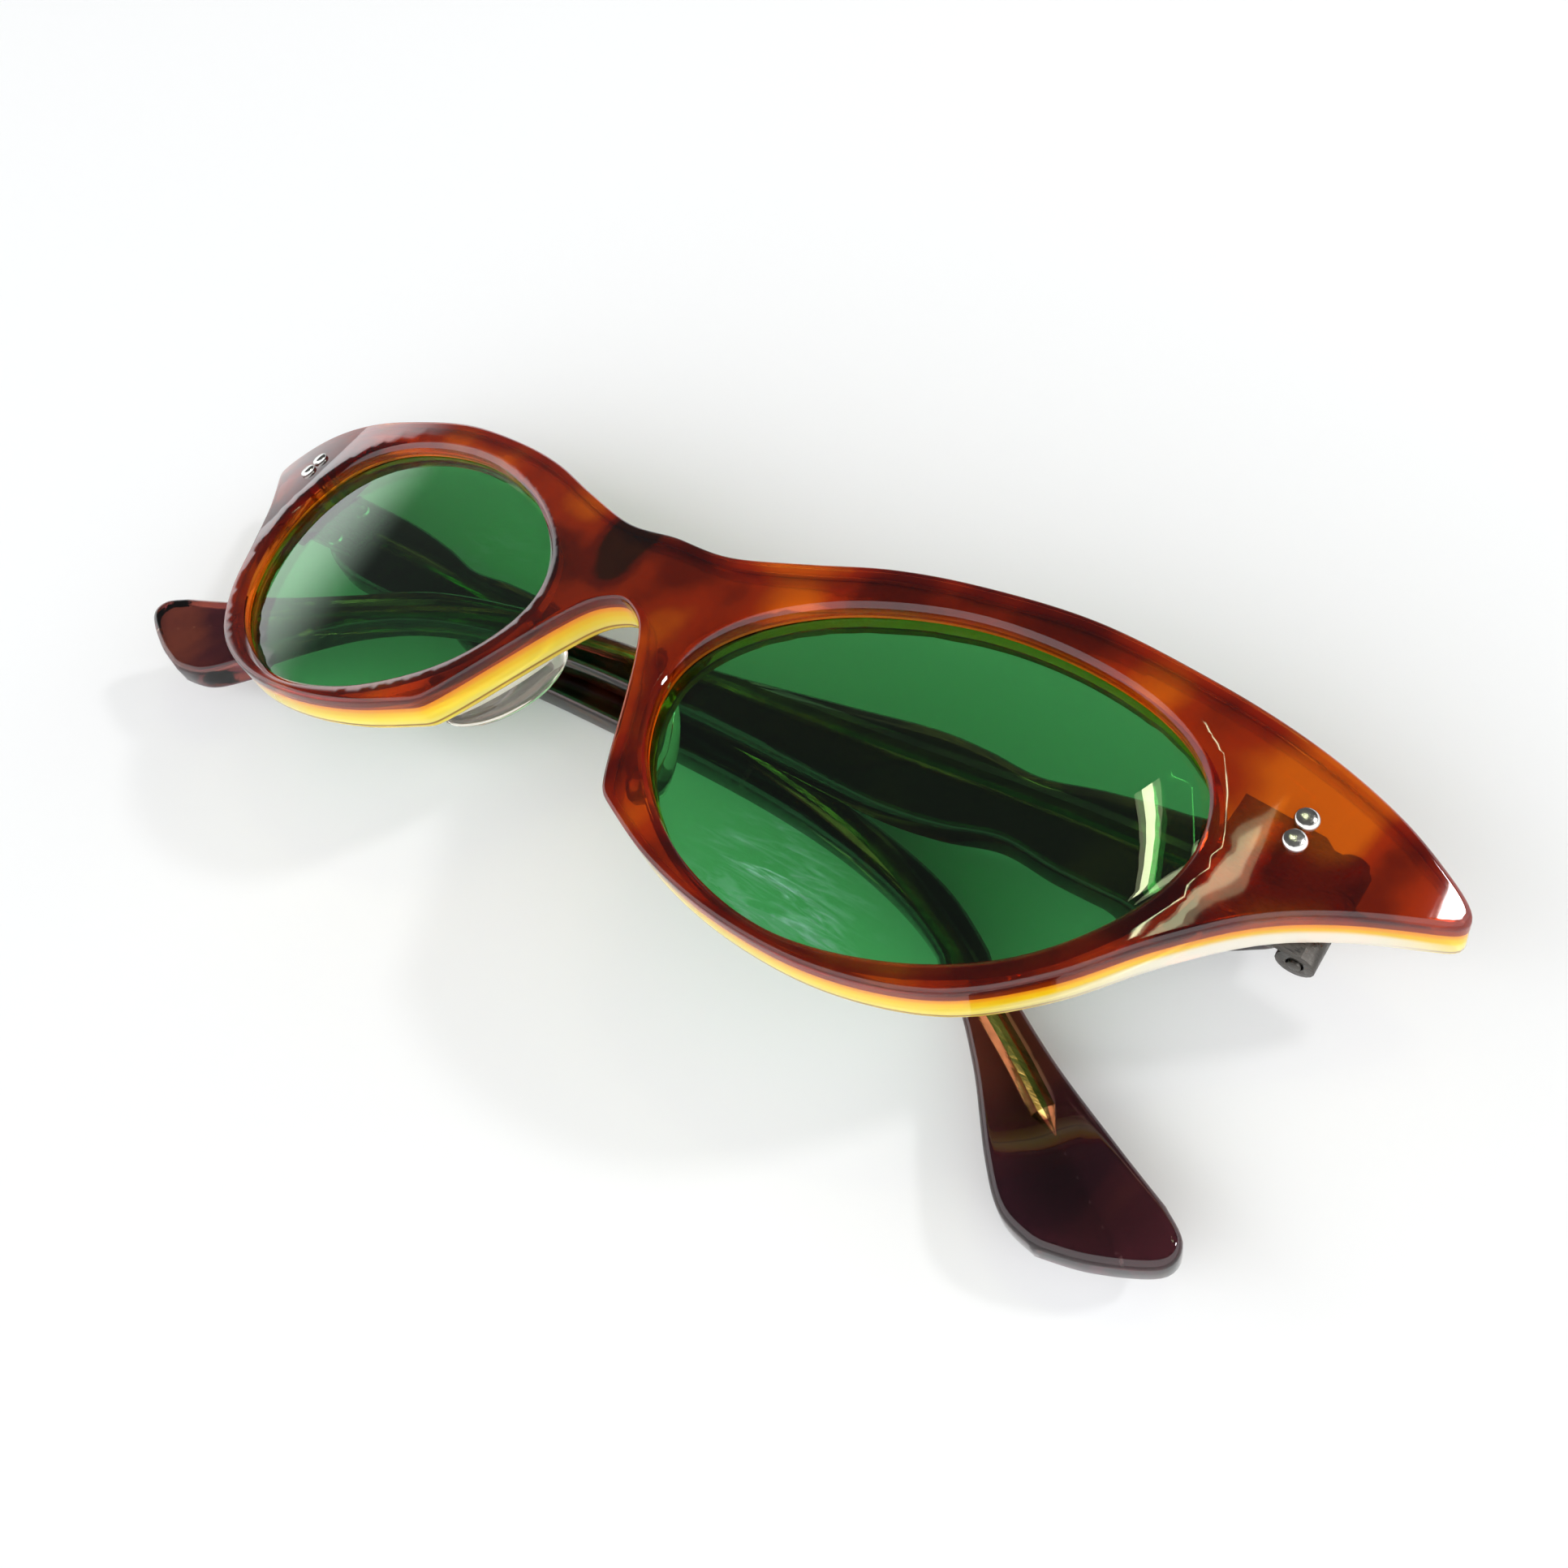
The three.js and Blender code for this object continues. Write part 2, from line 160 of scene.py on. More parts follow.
def makeSlab(name, outline, holes, insets, spacing, surface, topDrop, bottomDrop, walls, matrix):
    # surface(x, y) is the reference height. topDrop and bottomDrop give each face's depth under
    # it from the distances to the outline and to the nearest hole. walls lists (outset, depth)
    # rows between the faces, first for the outline, then for the holes.
    loops = [outline, *holes]
    points = np.vstack([*loops, fillPoints(outline, holes, insets, spacing)])
    edges, start = [], 0
    for loop in loops:
        n = len(loop)
        edges += [(start + i, start + (i + 1) % n) for i in range(n)]
        start += n
    made = delaunay_2d_cdt([Vector(p) for p in points], edges, [], 0, 1e-6)
    flat = np.array([tuple(v) for v in made[0]])
    index = {source: i for i, sources in enumerate(made[3]) for source in sources}
    triangles = np.array([f for f in made[2]])
    centre = flat[triangles].mean(1)
    keep = inside(centre, outline)
    for hole in holes:
        keep &= ~inside(centre, hole)
    triangles = triangles[keep]
    edgeFar = distanceTo(flat, outline)
    holeFar = np.min([distanceTo(flat, h) for h in holes], axis=0) if holes else edgeFar + 99
    reference = surface(flat[:, 0], flat[:, 1])
    topDepth, bottomDepth = topDrop(flat, edgeFar, holeFar), bottomDrop(flat, edgeFar, holeFar)
    count = len(flat)
    rows = [np.column_stack([flat, reference - topDepth]), np.column_stack([flat, reference - bottomDepth])]
    depths, fars = [topDepth, bottomDepth], [edgeFar, edgeFar]
    faces = [tuple(t) for t in triangles] + [tuple(t[::-1] + count) for t in triangles]
    start, used = 0, 2 * count
    for k, loop in enumerate(loops):
        n = len(loop)
        ring = [index[start + i] for i in range(n)]
        start += n
        layers = [ring]
        for outset, depth in walls[min(k, 1)]:
            spots = flat[ring] + outwards(flat[ring]) * outset
            rows.append(np.column_stack([spots, surface(spots[:, 0], spots[:, 1]) - depth]))
            depths.append(np.full(n, depth))
            fars.append(edgeFar[ring])
            layers.append(list(range(used, used + n)))
            used += n
        layers.append([i + count for i in ring])
        for upper, lower in zip(layers, layers[1:]):
            for i in range(n):
                j = (i + 1) % n
                quad = (upper[i], lower[i], lower[j], upper[j])
                faces.append(quad if k == 0 else quad[::-1])
    marks = {"depth": np.concatenate(depths), "far": np.concatenate(fars)}
    return makeMesh(name, np.vstack(rows), faces, matrix, marks)


def makeMesh(name, points, faces, matrix, attributes=None, sharp=35):
    m = np.array(matrix)
    points = points @ m[:3, :3].T + m[:3, 3]
    if np.linalg.det(m[:3, :3]) < 0:
        faces = [tuple(f)[::-1] for f in faces]
    mesh = bpy.data.meshes.new(name)
    mesh.from_pydata(points.tolist(), [], [tuple(int(i) for i in f) for f in faces])
    mesh.shade_smooth()
    mesh.set_sharp_from_angle(angle=math.radians(sharp))
    mesh.validate()
    piece = bpy.data.objects.new(name, mesh)
    bpy.context.scene.collection.objects.link(piece)
    for key, values in (attributes or {}).items():
        addMark(piece, key, values)
    return piece


def addMark(piece, name, values):
    piece.data.attributes.new(name, "FLOAT", "POINT").data.foreach_set("value", values.astype(np.float32))


def finished(piece, body, slot, material, *nodes):
    piece.data.materials.clear()
    piece.data.materials.append(material)
    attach(piece, body)
    if nodes:
        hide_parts(*nodes)
    return piece


class Recipe:
    # A small helper around one material's nodes.
    def __init__(self, name, **sockets):
        self.material = bpy.data.materials.new(name)
        self.material.use_nodes = True
        self.tree = self.material.node_tree
        self.shader = self.tree.nodes["Principled BSDF"]
        self.out = self.tree.nodes["Material Output"]
        for key, value in sockets.items():
            self.shader.inputs[key.replace("_", " ")].default_value = value

    def add(self, kind, links=None, **settings):
        node = self.tree.nodes.new(kind)
        for key, value in settings.items():
            setattr(node, key, value)
        for socket, value in (links or {}).items():
            if isinstance(value, bpy.types.NodeSocket):
                self.tree.links.new(value, node.inputs[socket])
            else:
                node.inputs[socket].default_value = value
        return node

    def place(self, scale=(1, 1, 1), shift=(0, 0, 0)):
        where = self.add("ShaderNodeTexCoord").outputs["Object"]
        return self.add("ShaderNodeMapping", {"Vector": where, "Scale": scale, "Location": shift}).outputs[0]

    def noise(self, vector, scale, detail=2.0, roughness=0.5, distortion=0.0):
        links = {"Vector": vector, "Scale": scale, "Detail": detail, "Roughness": roughness}
        links["Distortion"] = distortion
        return self.add("ShaderNodeTexNoise", links).outputs["Fac"]

    def ramp(self, factor, stops):
        node = self.add("ShaderNodeValToRGB", {"Fac": factor})
        node.color_ramp.interpolation = "EASE"
        elements = node.color_ramp.elements
        while len(elements) < len(stops):
            elements.new(0.5)
        for element, (position, colour) in zip(elements, stops):
            element.position = position
            element.color = colour
        return node.outputs["Color"]

    def mix(self, factor, a, b, blend="MIX"):
        node = self.add("ShaderNodeMix", data_type="RGBA", blend_type=blend)
        for socket, value in ((node.inputs[0], factor), (node.inputs[6], a), (node.inputs[7], b)):
            if isinstance(value, bpy.types.NodeSocket):
                self.tree.links.new(value, socket)
            else:
                socket.default_value = value
        return node.outputs[2]

    def grey(self, factor, low, high, outLow=0.0, outHigh=1.0):
        links = {"Value": factor, "From Min": low, "From Max": high, "To Min": outLow, "To Max": outHigh}
        return self.add("ShaderNodeMapRange", links, interpolation_type="SMOOTHSTEP").outputs["Result"]

    def sum(self, a, b):
        return self.add("ShaderNodeMath", {0: a, 1: b}, operation="ADD").outputs[0]

    def attribute(self, name):
        return self.add("ShaderNodeAttribute", attribute_name=name).outputs["Fac"]

    def drive(self, socket, value):
        self.tree.links.new(value, self.shader.inputs[socket])

    def bump(self, height, strength, distance):
        links = {"Height": height, "Strength": strength, "Distance": distance}
        self.drive("Normal", self.add("ShaderNodeBump", links).outputs["Normal"])


def grey(value):
    return (value, value, value, 1)


# Polished acetate never lies quite flat: long soft waves and a few hairline scratches.
def polish(recipe, waves=0.12):
    wide = recipe.noise(recipe.place(), 160, 1)
    scratchy = recipe.noise(recipe.place(scale=(900, 90, 400)), 1, 4, 0.7)
    recipe.drive("Roughness", recipe.grey(scratchy, 0.62, 0.8, 0.035, 0.16))
    recipe.bump(wide, waves, 0.0006)


tortoise = {
    "smoke": (0.008, 0.004, 0.01, 1),
    "dark": (0.1, 0.006, 0.012, 1),
    "red": (0.4, 0.036, 0.014, 1),
    "amber": (0.98, 0.36, 0.025, 1),
    "edge": (1.0, 0.3, 0.015, 1),
    "edgeGlow": 0.6,
    "clearness": 0.955,
    "base": 0.37,
    "wander": 0.34,
    "mottle": 0.08,
}


def tortoiseMaterial(name):
    # Clouds listed in the "blotch" attribute, with a softer wander between them.
    t = tortoise
    r = Recipe(name, Transmission_Weight=t["clearness"], IOR=1.49, Roughness=0.05)
    soft = r.grey(r.noise(r.place(), 55, 1, 0.4, 0.4), 0, 1, -t["wander"], t["wander"])
    fine = r.grey(r.noise(r.place(shift=(3, 1, 2)), 190, 2), 0, 1, -t["mottle"], t["mottle"])
    mixed = r.sum(r.sum(soft, fine), r.sum(r.attribute("blotch"), t["base"]))
    tone = r.ramp(mixed, [(0.08, t["smoke"]), (0.24, t["dark"]), (0.38, t["red"]), (0.58, t["amber"])])
    # The walls and underside are mixed toward a bright orange: painted glow of light carried through the
    # sheet to its cut edges.
    edge = r.grey(r.attribute("depth"), 0.35, 1.3, 0.0, t["edgeGlow"])
    r.drive("Base Color", r.mix(edge, tone, t["edge"]))
    polish(r, 0.04)
    return r.material


honey = {
    # Tones by depth down the back sheet's walls; the dark stop at 0.82 is a painted line of the floor's
    # shadow seen through the edge.
    "tones": [
        (0.0, (1.0, 0.32, 0.01, 1)), (0.2, (1.0, 0.6, 0.01, 1)), (0.5, (1.0, 0.76, 0.05, 1)),
        (0.76, (1.0, 0.84, 0.16, 1)), (0.82, (0.3, 0.13, 0.02, 1)), (0.9, (1.0, 0.74, 0.06, 1)),
    ],
    "glareCream": (1.0, 0.97, 0.82, 1),
    "clearness": 0.88,
    "edgeClearness": 0.4,
    "absorbs": (1.0, 0.8, 0.1, 1),
    "density": 40.0,
}


def honeyMaterial():
    h = honey
    r = Recipe("honey_acetate", IOR=1.49, Roughness=0.04)
    depth = r.attribute("depth")
    edge = r.grey(r.attribute("far"), 0.3, 1.1, 1.0, 0.0)
    r.drive("Transmission Weight", r.grey(edge, 0, 1, h["clearness"], h["edgeClearness"]))
    tone = r.ramp(r.grey(depth, 1.2, 4.7), h["tones"])
    # Deep on the walls and over the lit patches the colour is mixed toward cream: painted glare of strong
    # light.
    glare = r.sum(r.grey(depth, 1.9, 3.0), r.sum(r.attribute("paintedLight"), -1.0))
    r.drive("Base Color", r.mix(r.grey(glare, 0, 1), tone, h["glareCream"]))
    absorb = r.add("ShaderNodeVolumeAbsorption", {"Color": h["absorbs"], "Density": h["density"]})
    r.tree.links.new(absorb.outputs[0], r.out.inputs["Volume"])
    polish(r)
    return r.material


glass = {"tint": (0.07, 0.42, 0.12, 1), "smear": (0.45, 0.82, 0.7, 1), "smearDull": 0.3}


def glassMaterial():
    # Green glass, clean but for a few wiped streaks low on the lens.
    r = Recipe("green_glass", IOR=1.5, Roughness=0.0)
    streaks = r.noise(r.place(scale=(160, 900, 300)), 1, 3, 0.65, 1.2)
    patch = r.add("ShaderNodeMath", {0: r.grey(streaks, 0.48, 0.72), 1: r.attribute("smear")},
                  operation="MULTIPLY").outputs[0]
    r.drive("Base Color", r.mix(patch, glass["tint"], glass["smear"]))
    r.drive("Transmission Weight", r.grey(patch, 0, 1, 1.0, 1.0 - glass["smearDull"]))
    return r.material


nosePadTint = (0.97, 0.93, 0.82, 1)


def clearMaterial():
    r = Recipe("clear_acetate", Transmission_Weight=0.96, IOR=1.49, Roughness=0.05)
    r.shader.inputs["Base Color"].default_value = nosePadTint
    polish(r, 0.2)
    return r.material


def metalMaterial(name, colour, roughness, stretch):
    r = Recipe(name, Metallic=1.0, Roughness=roughness)
    brushed = r.noise(r.place(scale=stretch), 1, 3, 0.6)
    cloudy = r.noise(r.place(), 500, 2)
    darker = tuple(c * 0.6 for c in colour[:3]) + (1,)
    r.drive("Base Color", r.mix(r.grey(cloudy, 0.35, 0.75), colour, darker))
    r.drive("Roughness", r.grey(brushed, 0.3, 0.7, roughness * 0.7, roughness * 1.5))
    r.bump(brushed, 0.15, 0.0001)
    return r.material


# The front: half its outline, which is mirrored, and its edges.
frontShape = {
    "brow": [
        (0, 12.3), (6, 12.3), (13.5, 14.5), (20.4, 16.9), (28, 18.5), (38, 19.5), (48, 18.7),
        (57, 17.3), (63.7, 15.5), (68, 13.5), (70.4, 11.9), (70.6, 10.6), (68.8, 9.3),
    ],
    "rim": [
        (68.8, 9.3), (63.5, 6), (59, 2.4), (54.4, -2.8), (49.5, -9.1), (43.5, -14.1),
        (35.5, -16.8), (27, -17.1), (19, -15.6), (11.7, -12.6),
    ],
    "nose": [(11.7, -12.6), (10.2, -10), (8, -5.6), (5.4, -0.6), (3, 2.9), (0, 4.4)],
    "lens": [
        (9.3, -0.6), (11.4, 5.9), (18.2, 11.4), (28, 15), (37.5, 15.8), (46, 14.4), (51.5, 10.8),
        (53.4, 5), (51.6, -2), (46.5, -9), (39, -13.8), (30, -15.9), (20.5, -13.8), (12.6, -8),
    ],
    "step": 0.42,
    "faceRadius": 280,
    "sweepStart": 50,
    "sweepRate": 0.006,
    "tortoiseThick": 1.4,
    "thick": 4.7,
    "bond": 0.03,
    "edgeRound": 0.45,
    "bevelWide": 0.75,
    "bevelDeep": 0.5,
    "backRound": 0.9,
    "bridgeCrown": 0.35,
    "bridgeWide": 5.0,
    "tortoiseWall": [(0.0, 0.7), (0.0, 1.05)],
    "honeyWall": [(0.0, 1.8), (0.0, 2.4), (0.0, 3.2)],
    "honeyInset": 0.04,
    "holeKeep": 0.3,
}

lensShape = {
    "top": 1.75,
    "thick": 1.8,
    "grow": 0.75,
    "grooveGrow": 0.95,
    "grooveFrom": 1.68,
    "grooveTo": 3.65,
}


def faceHeight(x, y):
    past = np.maximum(0, np.abs(x) - frontShape["sweepStart"])
    crown = frontShape["bridgeCrown"] * np.exp(-((x / frontShape["bridgeWide"]) ** 2))
    return -x * x / (2 * frontShape["faceRadius"]) - frontShape["sweepRate"] * past * past + crown


def frontOutline():
    step = frontShape["step"]
    parts = [smoothLine(frontShape[k], step)[:-1] for k in ("brow", "rim", "nose")]
    half = np.vstack([*parts, frontShape["nose"][-1:]])
    return softened(counterClockwise(np.vstack([half, half[::-1][1:-1] * [-1, 1]])), 5)


outline = frontOutline()
leftOpening = counterClockwise(smoothLine(frontShape["lens"], frontShape["step"], closed=True))
openings = [leftOpening, mirroredLoop(leftOpening)]


def rounded(distance, radius):
    # How far a rounded edge drops at a distance in from it.
    near = np.clip(distance, 0, radius)
    return radius - np.sqrt(np.maximum(radius**2 - (radius - near) ** 2, 0))


def roundInsets(radius, count):
    return [radius * (1 - math.cos(math.pi / 2 * i / count)) for i in range(1, count + 1)]


def tortoiseLayer():
    s = frontShape
    bottom = s["tortoiseThick"]

    def top(flat, edge, hole):
        bevel = s["bevelDeep"] * np.clip(1 - hole / s["bevelWide"], 0, 1) ** 1.5
        return np.maximum(rounded(edge, s["edgeRound"]), bevel)

    insets = sorted(roundInsets(s["edgeRound"], 6) + [0.3 * s["bevelWide"], 0.65 * s["bevelWide"]])
    return makeSlab(
        "tortoise_layer", outline, openings, insets, 1.0, faceHeight, top,
        lambda flat, edge, hole: np.full(len(flat), bottom),
        (s["tortoiseWall"], []), frontMatrix,
    )


def honeyLayer():
    s, g = frontShape, lensShape
    top = s["tortoiseThick"] - s["bond"]

    def back(flat, edge, hole):
        return s["thick"] - rounded(np.minimum(edge, hole + s["holeKeep"]), s["backRound"])

    groove = [(0, g["grooveFrom"]), (g["grooveGrow"], g["grooveFrom"]), (g["grooveGrow"], g["grooveTo"])]
    groove.append((0, g["grooveTo"]))
    return makeSlab(
        "honey_layer", grown(outline, -s["honeyInset"]), openings, roundInsets(s["backRound"], 5), 1.0,
        faceHeight,
        lambda flat, edge, hole: np.full(len(flat), top),
        back, (s["honeyWall"], groove), frontMatrix,
    )


def lens(name, loop):
    g = lensShape
    radius = 0.25
    return makeSlab(
        name, grown(loop, g["grow"]), [], roundInsets(radius, 3), 1.6, faceHeight,
        lambda flat, edge, hole: g["top"] + rounded(edge, radius),
        lambda flat, edge, hole: g["top"] + g["thick"] - rounded(edge, radius),
        ([(0, g["top"] + g["thick"] / 2)], []), frontMatrix,
    )


nosePad = {"centre": (9.7, -5.4), "half": (1.5, 6.6), "deep": 4.0, "lean": 27, "sides": 90}


def pad(name, side):
    p = nosePad
    lean = math.radians(p["lean"])
    turn = np.array([[math.cos(lean), math.sin(lean)], [-math.sin(lean), math.cos(lean)]])
    angle = np.linspace(0, 2 * math.pi, p["sides"], endpoint=False)
    loop = np.stack([p["half"][0] * np.cos(angle), p["half"][1] * np.sin(angle)], 1) @ turn
    loop = loop + p["centre"]
    back = frontShape["thick"] + 0.1

    def belly(flat, edge, hole):
        x, y = ((flat - p["centre"]) @ turn.T / p["half"]).T
        return back + p["deep"] * np.sqrt(np.clip(1 - x * x - y * y, 0, 1))

    return makeSlab(
        name, loop, [], [0.02, 0.06, 0.14, 0.28, 0.5, 0.8], 0.3, faceHeight,
        lambda flat, edge, hole: np.full(len(flat), back),
        belly, ([], []), frontMatrix @ Matrix.Scale(side, 4, (1, 0, 0)),
    )


# Where the dark (below 0) and amber (above 0) clouds of the front lie: (x, y, radius, amount).
frontClouds = [
    (-4.8, 12.2, 2.2, -0.6), (-4.2, 9.5, 2.1, -0.6), (-3.4, 6.8, 1.7, -0.5), (3, 9, 4, -0.06),
    (-12, 12.5, 4, 0.16), (-8.5, 9, 2.5, 0.08), (15, 9.5, 3.2, 0.2), (7, 5.5, 3, 0.16),
    (20, 15.5, 3.5, -0.12), (26.5, 16.5, 2.6, 0.16), (36, 18, 5, -0.12), (45, 16.5, 2.8, 0.18),
    (50.5, 16, 2.6, -0.1), (57, 14, 3.6, 0.2), (54.5, 9, 2.2, 0.08), (65, 13, 2.6, -0.32),
    (69.5, 9.5, 1.6, 0.08), (64.5, 8, 3, -0.3), (61.5, 11, 1.3, 0.06), (59.5, 6.5, 3, -0.26),
    (55, -1, 3.5, -0.12), (52, -6, 3, 0.14), (46, -13.5, 3, -0.08), (40, -16, 3, 0.12), (31, -17, 4, -0.08),
    (23, -16.3, 3, 0.16), (15.5, -13, 3, 0.2), (11, -4, 3.5, -0.1), (11.5, -10, 2, -0.16),
    (-6, 2, 4, -0.08), (-22, 16, 4, -0.08), (-30, 19, 4, -0.1), (-38, 18, 3, 0.18),
    (-48, 15, 5, -0.14), (-54, 6, 6, -0.14), (-62, 13, 6, -0.06), (-52, -6, 5, -0.1),
    (-40, -15, 6, -0.06), (-28, -16, 5, 0.02), (-15, -13, 4, 0.1),
]


def addBlotches(piece, clouds, matrix, name="blotch"):
    back = np.array(matrix.inverted())
    count = len(piece.data.vertices)
    points = np.empty(count * 3)
    piece.data.vertices.foreach_get("co", points)
    local = points.reshape(-1, 3) @ back[:3, :3].T + back[:3, 3]
    shade = np.zeros(count)
    for x, y, radius, amount in clouds:
        far = np.hypot(local[:, 0] - x, local[:, 1] - y)
        shade += amount * np.exp(-((far / radius) ** 2))
    addMark(piece, name, shade)


# Where strong light whitens the back sheet: painted light, mixed toward cream.
honeyPaintedLight = [(52, -3, 6, 0.5), (58, 2, 7, 0.8), (66, 7, 6, 0.7), (48, -9, 5, 0.3)]

# Where the glass carries wiped streaks.
lensSmears = [(27, -12.5, 4.5, 1.0), (33, -13, 3, 0.6), (-20, 3, 6, 0.12)]

honeyAcetate = honeyMaterial()
frontTortoise = tortoiseMaterial("tortoise_acetate")
greenGlass = glassMaterial()
clearAcetate = clearMaterial()
silver = metalMaterial("rivet_silver", (0.7, 0.69, 0.66, 1), 0.16, (4000, 4000, 900))
steel = metalMaterial("hinge_steel", (0.12, 0.11, 0.1, 1), 0.3, (300, 5000, 5000))
gilt = metalMaterial("gilt_wire", (1.0, 0.78, 0.34, 1), 0.12, (60, 3000, 3000))

outer = tortoiseLayer()
addBlotches(outer, frontClouds, frontMatrix)
finished(outer, "front", "tortoise_acetate", frontTortoise, "front_tortoise")
inner = honeyLayer()
addBlotches(inner, honeyPaintedLight, frontMatrix, "paintedLight")
finished(inner, "front", "honey_acetate", honeyAcetate, "front_honey")
for side, name in ((1, "left"), (-1, "right")):
    opening = openings[0] if side == 1 else openings[1]
    glazing = lens(f"glass_{name}", opening)
    addBlotches(glazing, lensSmears, frontMatrix, "smear")
    finished(glazing, "front", "green_glass", greenGlass, f"lens_{name}")
    finished(pad(f"pad_{name}", side), "front", "clear_acetate", clearAcetate, f"nose_pad_{name}")
print("front, lenses and pads made")


# The temples in their hinge's frame: outline, core wire, and how far each side's arm has turned.
temple = {
    "upper": [
        (-3, 4.9), (6, 4.9), (13, 4.6), (19.5, 3.7), (25, 2.5), (30.5, 2.9), (36, 2.8), (45, 1.4),
        (60, -0.8), (75, -2), (86, -3.8), (95, -6.4), (103, -11), (110, -15), (117, -18.3), (122.4, -20.7),
    ],
    "tip": [(122.4, -20.7), (124.6, -22.4), (124.3, -24.7), (120, -27), (116, -28.1)],
    "lower": [
        (116, -28.1), (112.6, -27.2), (109.4, -24.2), (104.6, -18.4), (99.5, -13.6), (93, -9.9), (84, -7.4),
        (73, -6.2), (60, -6), (47, -6.2), (37, -6.5), (30.5, -5.8), (25, -4.4), (19.5, -4.9), (13, -5),
        (9.5, -4.8), (6.2, -3.9), (3, -2), (0, -0.1), (-3, 1.8),
    ],
    "wire": [
        (0, 0.7), (20, 0.6), (40, -0.6), (57, -1.6), (71, -2.7), (85, -5.3), (96, -9.8), (106, -15.4),
        (111, -18.6),
    ],
    "thick": 3.6,
    "inset": 0.6,
    "bow": 3.4,
    "bowStart": 65,
    "length": 125,
    "edgeRound": 0.85,
    "buttReach": 1.33,
    "buttSlope": 0.4,
    "buttFade": 3,
    "cove": 1.8,
    "rivetS": 6.2,
    "foldLag": {"left": -1.2, "right": 2.9},
    "droop": {"left": -1.2, "right": 1.2},
    "wireFrom": 3.6,
    "wireHalf": 1.0,
    "wireThick": 1.1,
    "wirePoint": 2.4,
}


def swingPlace(name):
    # The hinge frame of one side, turned with its temple, in the front's millimetres.
    side = 1 if name == "left" else -1
    lag = Matrix.Rotation(-math.radians(temple["foldLag"][name]), 4, "Y")
    return (frontMatrix @ Matrix.Scale(side, 4, (1, 0, 0))
            @ Matrix.Translation((hinge["x"], hinge["y"], hinge["z"])) @ lag)


def templePlace(name):
    droop = Matrix.Rotation(math.radians(temple["droop"][name]), 4, "Z")
    rivets = Matrix.Translation((-temple["rivetS"], 0, 0))
    return swingPlace(name) @ rivets @ droop @ rivets.inverted()


def templeHeight(x, y):
    past = np.maximum(0, (-x - temple["bowStart"]) / (temple["length"] - temple["bowStart"]))
    return -temple["inset"] + temple["bow"] * past**2


def templeOutline():
    parts = [smoothLine(temple[k], 0.45)[:-1] for k in ("upper", "tip")]
    loop = np.vstack([*parts, smoothLine(temple["lower"], 0.45)])
    loop = loop[loop[:, 0] > -temple["buttReach"] + 0.05]
    end = np.linspace(loop[-1, 1], loop[0, 1], 14)[1:-1]
    butt = np.stack([np.full(len(end), -temple["buttReach"]), end], 1)
    return counterClockwise(np.vstack([loop, butt]) * [-1, 1])


def templeBody(name):
    t = temple

    def top(flat, edge, hole):
        x = flat[:, 0]
        drop = rounded(edge, t["edgeRound"]) * np.clip(-x / t["buttFade"], 0, 1)
        cove = np.sqrt(np.maximum(t["cove"] ** 2 - x * x, 0)) - t["inset"]
        return np.maximum(drop, cove)

    def bottom(flat, edge, hole):
        fade = np.clip(-flat[:, 0] / t["buttFade"], 0.15, 1)
        return t["thick"] - rounded(edge, t["edgeRound"]) * fade

    piece = makeSlab(
        f"temple_body_{name}", templeOutline(), [], roundInsets(t["edgeRound"], 5), 1.1, templeHeight,
        top, bottom, ([(0, t["thick"] / 2)], []), Matrix.Identity(4),
    )
    points = np.array([v.co for v in piece.data.vertices])
    deep = -t["inset"] - points[:, 2]
    near = np.clip((points[:, 0] + t["buttFade"]) / t["buttFade"], 0, 1)
    points[:, 0] -= near * t["buttSlope"] * np.clip(deep, 0, None)
    piece.data.vertices.foreach_set("co", points.astype(np.float32).ravel())
    face = np.clip((deep + templeHeight(points[:, 0], 0) + t["inset"]) / t["thick"], 0, 1)
    addMark(piece, "outside", face)
    addMark(piece, "wireFar", wireDistance(points[:, :2] * [-1, 1]))
    place = templePlace(name)
    piece.data.transform(place)
    if place.determinant() < 0:
        piece.data.flip_normals()
    return piece


def wireLine():
    line = smoothLine(temple["wire"], 1.0)
    return line[line[:, 0] >= temple["wireFrom"]]


def wireDistance(points):
    # Distance to the core wire's middle line, growing faster round its pointed end.
    line = wireLine()
    best = np.full(len(points), 1e9)
    for a, b in zip(line, line[1:]):
        t = np.clip((points - a) @ (b - a) / ((b - a) @ (b - a)), 0, 1)
        best = np.minimum(best, np.linalg.norm(points - a - t[:, None] * (b - a), axis=1))
    along = line[-1] - line[-2]
    beyond = np.clip((points - line[-1]) @ along / np.linalg.norm(along), 0, temple["wirePoint"])
    aside = np.abs((points - line[-1]) @ np.array([-along[1], along[0]]) / np.linalg.norm(along))
    return np.where(beyond > 0, aside + beyond / temple["wirePoint"] * temple["wireHalf"], best)


